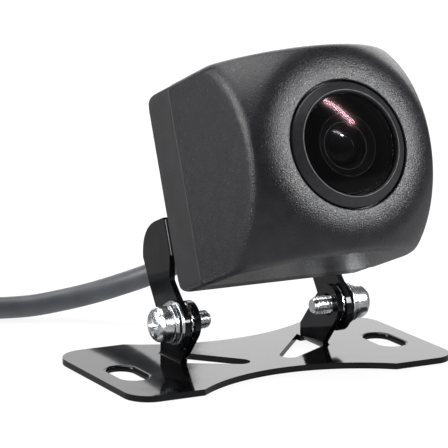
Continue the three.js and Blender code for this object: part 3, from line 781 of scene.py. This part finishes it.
def lens_part(name, profile, radius, material, node):
    """A turned part of the lens whose edges are rounded to that radius."""
    made = turned(name, rounded(profile, radius), 128)
    place(smooth(made), ON_LENS, "camera", material, [node])


def curved(apex, radius, rim):
    """Points over a spherical face that bulges forwards, from the axis to the rim."""
    steps = [rim * k / 24 for k in range(25)]
    return [(r, apex - radius + math.sqrt(radius**2 - r**2)) for r in steps]


def lens_body(name, outer, inner, edge, material, node):
    """A lens between two faces, each given from the axis outwards, with a ground edge at that depth."""
    profile = [*inner, (inner[-1][0], edge), *reversed(outer)]
    made = smooth(turned(name, profile, 128), 30, weighted=False)
    place(made, ON_LENS, "camera", material, [node])


def make_lens():
    bezel = [(7.7, 33.95), (BEZEL_RADIUS, 33.95), (BEZEL_RADIUS, 35.18), (9.4, 35.42), (8.34, 36.12),
             (8.12, 36.22), (7.9, 36.1), (7.75, 35.7), (7.7, 35.2)]
    lens_part("bezel_ring", bezel, 0.09, BEZEL, "lens_bezel")

    front = curved(GLASS_APEX, GLASS_CURVE, GLASS_EDGE)
    back = curved(GLASS_APEX - GLASS_THICK, GLASS_CURVE, GLASS_EDGE)
    lens_body("dome_lens", front, back, back[-1][1] + 0.1, DOME_GLASS, "front_glass")

    retainer = [(5.0, 33.1), (7.45, 33.1), (7.45, 34.0), (5.3, 34.86), (5.0, 34.9)]
    lens_part("retaining_ring", retainer, 0.06, LENS_BLACK, "lens_retainer")

    barrel = [(4.92, 34.95), (4.7, 35.0), (4.55, 34.9), (3.7, 34.3), (3.45, 34.28), (3.3, 34.05), (3.2, 33.6),
              (2.98, 33.5), (2.92, 33.1), (2.92, 21.8), (6.0, 21.8), (6.0, 30.0), (7.4, 30.0), (7.4, 32.95),
              (4.92, 32.95)]
    lens_part("barrel", barrel, 0.05, ANODISED, "lens_barrel")

    flat = [(0, 30.0), (ELEMENT, 30.0)]
    lens_body("inner_lens", curved(34.4, 3.6, ELEMENT), flat, 31.5, INNER_LENS, "lens_element_inner")
    flat = [(0, 23.1), (ELEMENT, 23.1)]
    lens_body("rear_lens", curved(25.9, 7, ELEMENT), flat, 25.0, REAR_LENS, "lens_element_rear")


make_lens()

# -------- bent sheets

PLATE_X, PLATE_Y = 29.0, 14.6
CORNER_FRONT, CORNER_REAR = 4.0, 5.0
EAR_INNER, EAR_OUTER = 12.4, 13.4
EAR_FRONT, EAR_REAR, EAR_SHOULDER, EAR_HEAD = 1.3, 7.3, 3.2, 3.25
BEND = 0.5  # inner radius of a bend
FOOT_FRONT = EAR_FRONT - 0.815 * (SHEET + BEND)  # where the ear's leaning front edge meets its bend
WAIST_FRONT, WAIST_REAR = (17.2, 5.8), (16.3, 4.5)  # half length and depth
SLOT_X, SLOT_Y, SLOT_HALF, SLOT_ROUND = 23.5, -0.9, 4.4, 2.3
# a slot's wall and its pressed upper edge: how far out, and how high against the top face
SLOT_WALL = ((0.0, -2.0), (0.0, -0.5), (0.05, -0.3), (0.2, -0.12), (0.5, 0.0), (0.7, 0.3))


def waist(half, depth, edge):
    """The arc across one long edge of the plate, from the side towards which x falls."""
    radius = (half**2 + depth**2) / (2 * depth)
    reach = math.degrees(math.asin(half / radius))
    middle = edge + math.copysign(radius - depth, edge)
    towards = 270 if edge > 0 else 90
    points = arc(0, middle, radius, towards - reach, towards + reach, 64)
    return sorted(points, reverse=edge > 0)


def plate_outline():
    x, y, f, r = PLATE_X, PLATE_Y, CORNER_FRONT, CORNER_REAR
    return [
        *arc(-x + f, -y + f, f, 180, 270, 14), *waist(*WAIST_FRONT, -y),
        *arc(x - f, -y + f, f, 270, 360, 14), *arc(x - r, y - r, r, 0, 90, 14),
        *waist(*WAIST_REAR, y), *arc(-x + r, y - r, r, 90, 180, 14),
    ]


def slot_cutter(sign):
    """A slot whose upper edge is pressed over: its cutter widens towards the top face."""
    x, reach = sign * SLOT_X, SLOT_HALF - SLOT_ROUND
    rows = []
    for out, above in SLOT_WALL:
        r = SLOT_ROUND + out
        ends = arc(x, SLOT_Y + reach, r, 0, 180, 24) + arc(x, SLOT_Y - reach, r, 180, 360, 24)
        rows.append([(px, py, SHEET + above) for px, py in ends])
    return clean(new_object("slot", [p for row in rows for p in row], capped_faces(len(rows), len(rows[0]))))


def window_outline(sign):
    tip = arc(4.5, -2.8, 1.6, 136, 296, 20)
    return [(sign * x, y) for x, y in ((EAR_INNER, -0.1), (EAR_INNER, 8.3), *tip)]


def bend_strip(x, z, start, low, high):
    """A quarter of a sheet bend about (x, z), from the angle start, extruded along the second axis."""
    outline = arc(x, z, BEND, start, start + 90, 10) + arc(x, z, BEND + SHEET, start + 90, start, 10)
    return prism("bend", outline, low, high, "xzy")


def cross_bore(x, up, v):
    """A cutter for a tilt screw's hole, along the first axis."""
    bore = cylinder("bore", TILT_BORE, -1, 1)
    bore.data.transform(Matrix.Translation((x, up, v)) @ Matrix.Rotation(math.pi / 2, 4, "Y"))
    return bore


def make_base_plate():
    plate = prism("mount_plate", plate_outline(), 0, SHEET)
    head = arc(PIVOT.y, PIVOT.z, EAR_HEAD, 219, 40, 40)
    ear = [(EAR_REAR, EAR_SHOULDER), (EAR_REAR, SHEET + BEND), (FOOT_FRONT, SHEET + BEND), *head]
    for _, sign in SIDES:
        near, far = sign * (EAR_INNER - 0.1), sign * (EAR_OUTER + BEND)
        foot = [(near, FOOT_FRONT), (far, FOOT_FRONT), (far, EAR_REAR), (near, EAR_REAR)]
        window = prism("window", window_outline(sign), -1, SHEET + 1)
        cut(plate, slot_cutter(sign), window, prism("foot", foot, -1, SHEET + 1))
        span = sorted((sign * EAR_INNER, sign * EAR_OUTER))
        upright = prism("ear", ear, span[0], span[1], "yzx")
        start = 180 if sign > 0 else 270
        strip = bend_strip(sign * (EAR_OUTER + BEND), SHEET + BEND, start, FOOT_FRONT, EAR_REAR)
        union(plate, strip, upright)
        cut(plate, cross_bore(sign * (EAR_INNER + EAR_OUTER) / 2, PIVOT.y, PIVOT.z))
    clean(plate)
    rounded_edges(plate, 0.17, 3)
    place(smooth(plate), WORLD, "base", ENAMEL, ["base_plate"])


def wing_outline(front):
    """A wing and its arm, as depth to the rear and up: round top, tapering rear edge and round foot."""
    crown = [Vector((1.3, WING_TOP)), Vector((6.1, WING_TOP - 0.2)), Vector((7.3, WING_TOP - 4.6))]
    steps = [k / 16 for k in range(17)]
    top = [tuple(crown[0].lerp(crown[1], t).lerp(crown[1].lerp(crown[2], t), t)) for t in steps]
    foot = arc(1.1, -0.2, 4.1, 8, -196, 40)
    return [(front, WING_TOP), *top, (6.6, 7.0), (5.2, 0.8), *foot, (-0.3, 6.6), (front, BACK_LOW + 0.9)]


def make_bracket():
    """Drawn in the housing's axes: x, up and v."""
    side = WING_OUTER - SHEET - BEND
    back = [(-side, BACK_LOW), (side, BACK_LOW), (side, BACK_HIGH), (-side, BACK_HIGH)]
    bracket = prism("tilt_bracket", back, BACK_REAR, BACK_FRONT)
    union(bracket, moved(cylinder("lobe", 6.2, BACK_REAR, BACK_FRONT, 96), 0, CABLE_UP))
    bent = BACK_REAR - BEND
    for _, sign in SIDES:
        span = sorted((sign * (WING_OUTER - SHEET), sign * WING_OUTER))
        wing = prism("wing", [(-along, up) for along, up in wing_outline(-bent)], span[0], span[1], "zyx")
        start = 0 if sign > 0 else 90
        strip = bend_strip(sign * side, bent, start, BACK_LOW + 0.9, BACK_HIGH)
        union(bracket, strip, wing)
        hole = moved(cylinder("hole", 1.6, 1, 4), sign * BRACKET_SCREW_X, CABLE_UP)
        cut(bracket, cross_bore(sign * (WING_OUTER - SHEET / 2), 0, 0), hole)
    cut(bracket, moved(cylinder("hole", CABLE_HOLE, 1, 4, 64), 0, CABLE_UP))
    clean(bracket)
    rounded_edges(bracket, 0.17, 3)
    place(smooth(bracket), HOUSING, "camera", ENAMEL, ["camera_bracket"])


make_base_plate()
make_bracket()

# -------- screws and washers


def thread_rows(tip, end, radius, depth, pitch, segments, per_turn=10):
    """Rows of a screw thread from the tip, which is chamfered, to the end, which runs out."""
    rows = []
    count = round((end - tip) / pitch * per_turn)
    for k in range(count + 1):
        h = tip + (end - tip) * k / count
        for c in range(segments):
            phase = (h / pitch - c / segments) % 1
            groove = depth * min(1.0, max(0.0, (0.44 - abs(phase - 0.5)) / 0.34))
            fade = min(1.0, (end - h) / pitch)
            r = min(radius - groove * fade, radius - depth - 0.1 + (h - tip) * 0.9)
            rows.append(around(r, h, 2 * math.pi * c / segments))
    return rows, count + 1


def cross_recess(seat, reach, depth, width):
    """A cutter for a cross recess that opens at height seat and narrows downwards."""
    wings = []
    for turn in (0, math.pi / 2):
        low, high = (reach * 0.35, width * 0.35), (reach, width * 0.5)
        points = []
        for (half, side), z in ((low, seat - depth), (high, seat), ((high[0] * 1.1, high[1]), seat + 0.6)):
            points += [(-half, -side, z), (half, -side, z), (half, side, z), (-half, side, z)]
        faces = grid_faces(3, 4) + [(0, 1, 2, 3), (11, 10, 9, 8)]
        wing = clean(new_object("wing", points, faces))
        wing.data.transform(Matrix.Rotation(turn, 4, "Z"))
        wings.append(wing)
    return union(*wings)


def screw(name, tip, seat, top, shank, head, pitch, recess, segments=48):
    """A pan-head screw along z with a cross recess and a real thread; its head is at the top end."""
    rows, count = thread_rows(tip, seat - 0.6, shank, 0.61 * pitch, pitch, segments)
    crown = [(head, seat), (head, top - 0.9), (head - 0.55, top - 0.25), (head - 1.5, top)]
    crown = rounded(crown, 0.3, 4, closed=False)
    profile = [(shank, seat - 0.4), (shank, seat), (head - 0.1, seat), *crown, (0, top)]
    points = [*rows, *turned_rows(profile, segments)]
    faces = grid_faces(count + len(profile), segments) + [tuple(range(segments - 1, -1, -1))]
    made = clean(new_object(name, points, faces))
    cut(made, cross_recess(top, *recess))
    return smooth(made, 38, weighted=False)


def washer(name, inner, outer, low, high):
    return turned(name, rounded([(inner, low), (outer, low), (outer, high), (inner, high)], 0.12), 96)


def spring_washer(name, inner, outer, low, high):
    """One turn of square wire whose ends stand a little apart."""
    middle, half = (inner + outer) / 2, (outer - inner) / 2
    thick = (high - low) * 0.72
    section = rounded([(-half, 0), (half, 0), (half, thick), (-half, thick)], 0.1)
    rows = []
    steps = 110
    for k in range(steps + 1):
        angle = math.radians(8 + 344 * k / steps)
        rise = low + (high - low - thick) * k / steps
        for out, up in section:
            shear = (up - thick / 2) * 0.35 / middle
            rows.append(around(middle + out, rise + up, angle + shear))
    return clean(new_object(name, rows, capped_faces(steps + 1, len(section))))


def lock_washer(name, inner, outer, low, high):
    """A thin washer with twisted outside teeth."""
    teeth, per_tooth = 16, 10
    count = teeth * per_tooth
    rows = []
    for r_share, level in ((0, 0), (0.55, 0), (0.8, 0), (1, 0), (1, 1), (0.8, 1), (0.55, 1), (0, 1)):
        for c in range(count):
            phase = (c % per_tooth) / per_tooth
            notch = 0.5 if phase > 0.7 and r_share > 0.6 else 0.0
            r = inner + (outer - inner) * (r_share - notch * (r_share - 0.55))
            twist = (phase / 0.7 - 0.5) * 0.5 * (r_share > 0.6) * (phase <= 0.7)
            h = low + (high - low) * min(1, max(0, 0.25 + 0.5 * level + 0.5 * twist))
            rows.append(around(r, h, 2 * math.pi * c / count))
    return clean(new_object(name, rows, grid_faces(8, count, wrap_rows=True)))


def make_tilt_hardware():
    """The washers and the screw on each side, drawn outwards from the middle along the tilt axis."""
    for side, sign in SIDES:
        made = screw(f"tilt_screw_{side}", 9.5, 16.85, 19.3, 1.45, 2.8, 0.5, (1.75, 1.5, 0.75))
        place(made, AXLE[sign], f"screw_{side}", ZINC, [f"pivot_screw_{side}"])
        for kind, made in (
            ("lock_washer", lock_washer(f"toothed_washer_{side}", TILT_BORE, 3.0, 13.45, 13.95)),
            ("flat_washer", washer(f"plain_washer_{side}", TILT_BORE, 3.5, 15.3, 15.8)),
            ("spring_washer", spring_washer(f"split_washer_{side}", TILT_BORE, 3.1, 15.88, 16.8)),
        ):
            place(smooth(made), AXLE[sign], "base", ZINC, [f"{kind}_{side}"])


def make_rear_screws():
    """The screws seen from behind: two hold the bracket and four close the case."""
    backwards = Matrix.Rotation(math.pi, 4, "Y")
    for side, sign in SIDES:
        seat = 0.1 - BACK_REAR
        made = screw(f"bracket_bolt_{side}", -8.2, seat, seat + 1.5, 1.2, 2.3, 0.45, (1.35, 1.1, 0.6))
        at = HOUSING @ Matrix.Translation((sign * BRACKET_SCREW_X, CABLE_UP, 0)) @ backwards
        place(made, at, "camera", ZINC, [f"bracket_screw_{side}"])
    for k, (x, up) in enumerate(CASE_CORNERS, 1):
        seat = -(REAR_FACE + 2.3)
        made = screw(f"case_bolt_{k}", -20, seat, seat + 1.3, 1.0, 1.8, 0.4, (1.05, 0.9, 0.5), 32)
        at = HOUSING @ Matrix.Translation((x, up, 0)) @ backwards
        place(made, at, "camera", ZINC, [f"case_screw_{k}"])


make_tilt_hardware()
make_rear_screws()

# -------- cable outlet, tie and connector


def make_gland():
    """A strain relief that tapers towards its free end, with three grip rings."""
    seat = REAR_FACE - 0.15
    outline = [(3.35, seat), (3.35, 2.6), (3.2, 1.7), (3.35, 1.3), (3.35, 0.9), (3.0, 0.5), (2.95, -0.2),
               (3.15, -0.6), (3.15, -1.0), (2.75, -1.4), (2.7, -2.1), (2.9, -2.5), (2.9, -2.9), (2.5, -3.3),
               (2.4, GLAND_END + 0.1), (2.2, GLAND_END)]
    hole = CABLE + 0.05
    bore = [(hole, GLAND_END), (hole, 7.0), (3.6, 7.0), (3.6, 5.9), (2.7, 5.9), (2.7, seat)]
    boot = turned("strain_relief", rounded([*outline, *bore], 0.14), 96)
    place(smooth(boot), ON_CABLE, "camera", RUBBER, ["cable_gland"])


def make_tie():
    """A flat strap round the coil's turns, with its lock."""
    play, thick, width = 0.3, 0.5, 4.0
    inner, outer = COIL_INNER - play, COIL_OUTER + play
    low, high = COIL_BOTTOM - play, COIL_TOP + play
    path = rounded([(inner, low), (outer, low), (outer, high), (inner, high)], 1.6, 8)
    half = width / 2
    strap = rounded([(-half, 0), (half, 0), (half, thick), (-half, thick)], 0.15)
    rows = []
    for k, at in enumerate(path):
        along = (Vector(path[(k + 1) % len(path)]) - Vector(path[k - 1])).normalized()
        rows += [(at[0] + along.y * out, side, at[1] - along.x * out) for side, out in strap]
    tie = clean(new_object("strap", rows, grid_faces(len(path), len(strap), wrap_rows=True)))
    lock = rounded_box("lock", (COIL_OUTER - 2.6, -2.6, high), (COIL_OUTER + 0.1, 2.6, high + 0.48), 0.15)
    union(tie, lock)
    at = WORLD @ Matrix.Translation((COIL_X, COIL_Y, 0)) @ Matrix.Rotation(math.radians(205), 4, "Z")
    place(smooth(tie), at, "base", NYLON, ["coil_tie"])


# the connector's own axis runs from the cable's end to its mouth
ON_PLUG = WORLD @ Matrix.Translation(PLUG) @ Matrix.Rotation(math.pi / 2, 4, "X")


def make_connector():
    profile = [(0, 0.2), (2.5, 0.2), (2.75, 3.2), (3.05, 4.4), (4.4, 11.0), (4.6, 13.0), (4.6, 24.0),
               (3.9, 24.3), (3.9, 25.4), (4.9, 25.4), (4.9, 26.4), (0, 26.4)]
    body = turned("plug_body", rounded(profile, 0.25), 96)
    grips = []
    for k in range(5):
        for start in (22.5, 202.5):
            outline = arc(0, 0, 6, start, start + 135, 16) + arc(0, 0, 4.25, start + 135, start, 16)
            grips.append(prism("grip", outline, 14.0 + 1.9 * k, 14.9 + 1.9 * k))
    cut(body, *grips)
    rounded_edges(body, 0.08, 2, 50)
    place(smooth(body), ON_PLUG, "base", RUBBER, ["connector_body"])

    sleeve = [(4.2, 24.5), (5.3, 24.5), (5.75, 25.0), (5.75, 34.5), (5.4, 35.0), (4.6, 35.0), (4.6, 31.0),
              (5.2, 31.0), (5.2, 25.1), (4.2, 25.1)]
    nut = turned("grip_nut", rounded(sleeve, 0.12), 96)
    flutes = []
    for k in range(16):
        flute = moved(cylinder("flute", 0.55, 26.3, 33.3, 16), 6.05)
        flute.data.transform(Matrix.Rotation(2 * math.pi * k / 16, 4, "Z"))
        flutes.append(flute)
    cut(nut, *flutes)
    rounded_edges(nut, 0.07, 2, 45)
    place(smooth(nut), ON_PLUG, "plug_nut", NYLON, ["coupling_nut"])

    face = turned("plug_face", rounded([(0, 26.7), (3.5, 26.7), (3.5, 33.3), (0, 33.3)], 0.2), 64)
    places = [(1.7 * math.cos(a), 1.7 * math.sin(a)) for a in (math.radians(45 + 90 * k) for k in range(4))]
    sockets = [moved(cylinder("socket", 0.75, 27.5, 34, 32), x, y) for x, y in places]
    cut(face, *sockets)
    rounded_edges(face, 0.08, 2, 45)
    place(smooth(face), ON_PLUG, "base", NYLON, ["connector_insulator"])
    for k, (x, y) in enumerate(places, 1):
        pin = turned(f"pin_{k}", rounded([(0, 27.8), (0.45, 27.8), (0.45, 32.6), (0, 32.6)], 0.2), 32)
        place(smooth(moved(pin, x, y)), ON_PLUG, "base", BRASS, [f"contact_{k}"])


make_gland()
make_tie()
make_connector()

# -------- pieces inside the housing

INSIDE = {
    RUBBER: ("case_gasket", "bezel_seal", "connector_seal"),
    NYLON: ("lens_holder", "board_connector", "cable_clamp"),
    FILTER_GLASS: ("ir_filter",),
    SOLDER_MASK: ("sensor_board", "power_board"),
    EPOXY: ("image_sensor", "image_processor", "power_inductor"),
    ZINC: ("filter_capacitor",),
    HEADER_NYLON: ("cable_header",),
    JACKET: ("inner_jacket", "inner_leads"),
    BRASS: tuple(f"board_standoff_{k}" for k in (1, 2, 3, 4)),
}


def finish_cad_nodes():
    for material, names in INSIDE.items():
        for name in names:
            mesh = frame["nodes"][name].data
            mesh.materials.clear()
            mesh.materials.append(material)


finish_cad_nodes()

# -------- stage and light


def add_floor():
    """A plain pale floor, a hair below the plate, that is nearly white."""
    size = 4.0
    corners = [(-size, -size, 0), (size, -size, 0), (size, size, 0), (-size, size, 0)]
    floor = new_object("floor", corners, [(0, 1, 2, 3)])
    floor.location.z = -0.00005
    glow = {"Emission Color": (1, 1, 1, 1), "Emission Strength": 0.88}
    made = surface("floor_white", (0.12, 0.12, 0.12), 0.9, glow)
    vary_color(made, noise(made, 3, 2), (0.12, 0.12, 0.12), (0.13, 0.13, 0.13))
    floor.data.materials.append(made)
    floor.visible_glossy = False


def add_softbox(name, toward, distance, width, height, radiance, color=(1, 1, 1)):
    """A rectangle of even light, in metres, that faces the object from the direction toward."""
    data = bpy.data.lights.new(name, "AREA")
    data.shape = "RECTANGLE"
    data.size, data.size_y = width, height
    data.energy = radiance * math.pi * width * height
    data.color = color
    light = bpy.data.objects.new(name, data)
    bpy.context.collection.objects.link(light)
    away = Vector(toward).normalized()
    light.location = away * distance + Vector((0, 0, 0.02))
    light.rotation_euler = away.to_track_quat("Z", "Y").to_euler()
    return light


def level_direction(azimuth, elevation):
    """A direction at an azimuth from +Y towards +X, in degrees."""
    turn, rise = math.radians(azimuth), math.radians(elevation)
    return (math.sin(turn) * math.cos(rise), math.cos(turn) * math.cos(rise), math.sin(rise))


def add_world():
    """Dim all round, and brighter further below the horizon, where reflections would show the pale floor."""
    world = bpy.data.worlds.new("studio")
    world.use_nodes = True
    nodes, links = world.node_tree.nodes, world.node_tree.links
    where = nodes.new("ShaderNodeTexCoord")
    split = nodes.new("ShaderNodeSeparateXYZ")
    links.new(where.outputs["Generated"], split.inputs["Vector"])
    total = nodes.new("ShaderNodeMath")
    # each ramp: lowest and highest z of the direction, and the strength at each
    for index, ramp in enumerate(((-0.05, 0.02, 0.28, 0.12), (-0.8, -0.1, 0.35, 0.0))):
        links.new(mapped(world.node_tree, split.outputs["Z"], *ramp), total.inputs[index])
    links.new(total.outputs[0], nodes["Background"].inputs["Strength"])
    nodes["Background"].inputs["Color"].default_value = (1, 1, 1, 1)
    bpy.context.scene.world = world


def add_strip(name, seen_at, ends, width, radiance, color):
    """A narrow lamp between two directions from the point seen_at, for a thin bar of light in a lens."""
    first, last = [seen_at * MM + Vector(d) for d in ends]
    middle, along = (first + last) / 2, (last - first).normalized()
    light = add_softbox(name, middle, middle.length, (last - first).length, width, radiance, color)
    facing = (middle - seen_at * MM).normalized()
    facing = (facing - along * facing.dot(along)).normalized()
    turned_to = Matrix((along, facing.cross(along), facing)).transposed().to_4x4()
    light.matrix_world = Matrix.Translation(middle) @ turned_to
    return light


def light_group(name, members, state):
    """A collection that includes or excludes the named pieces for one lamp."""
    group = bpy.data.collections.new(name)
    for member in members:
        group.objects.link(bpy.data.objects[member])
    for linked in group.collection_objects:
        linked.light_linking.link_state = state
    return group


def shine_on(light, names, state):
    """Limits what a lamp lights to the named pieces, or leaves them out of it."""
    light.light_linking.receiver_collection = light_group(f"{light.name}_lit", names, state)


LENSES = ("dome_lens", "inner_lens", "rear_lens")
ZINC_KINDS = ("tilt_screw", "toothed_washer", "plain_washer", "split_washer")


def add_soft_light():
    key = add_softbox("key", (0.477, -0.758, 0.445), 1.0, 0.36, 0.36, 22.5)
    shine_on(key, (*LENSES, "mount_plate"), "EXCLUDE")
    add_softbox("left", (-0.85, 0.45, 0.25), 1.0, 0.4, 0.6, 9.5)
    add_softbox("overhead", (-0.25, 0.35, 1.0), 1.0, 0.8, 0.8, 3.5)
    add_softbox("behind", level_direction(45.3, 20), 1.2, 0.72, 0.8, 2.0)
    add_softbox("behind_left", level_direction(14, 20), 1.2, 0.56, 0.8, 1.4)
    fill = add_softbox("fill", (-0.7, -0.6, 0.4), 1.0, 0.9, 0.9, 5)
    shine_on(fill, [f"{kind}_{side}" for kind in ZINC_KINDS for side, _ in SIDES], "INCLUDE")


def add_lens_light():
    """The pink bar on the front glass, and the white arc on the inner lens, which nothing else shades."""
    seen_at = Vector((-1.4, -25.9, 44.4))
    ends = (0.246, -0.319, 0.915), (0.55, -0.56, 0.62)
    pink = add_strip("strip_pink", seen_at, ends, 0.06, 46, (1.0, 0.58, 0.66))
    shine_on(pink, ("dome_lens",), "INCLUDE")
    seen_at = Vector((-0.5, -24.0, 40.8))
    ends = (0.196, 0.454, 0.869), (0.518, -0.122, 0.846)
    white = add_strip("strip_white", seen_at, ends, 0.07, 320, (1, 1, 1))
    shine_on(white, ("inner_lens",), "INCLUDE")
    white.light_linking.blocker_collection = light_group("strip_white_shade", ("inner_lens",), "INCLUDE")


def add_light():
    add_world()
    add_soft_light()
    add_lens_light()
    bpy.context.scene.view_settings.view_transform = "Standard"


add_floor()
add_light()
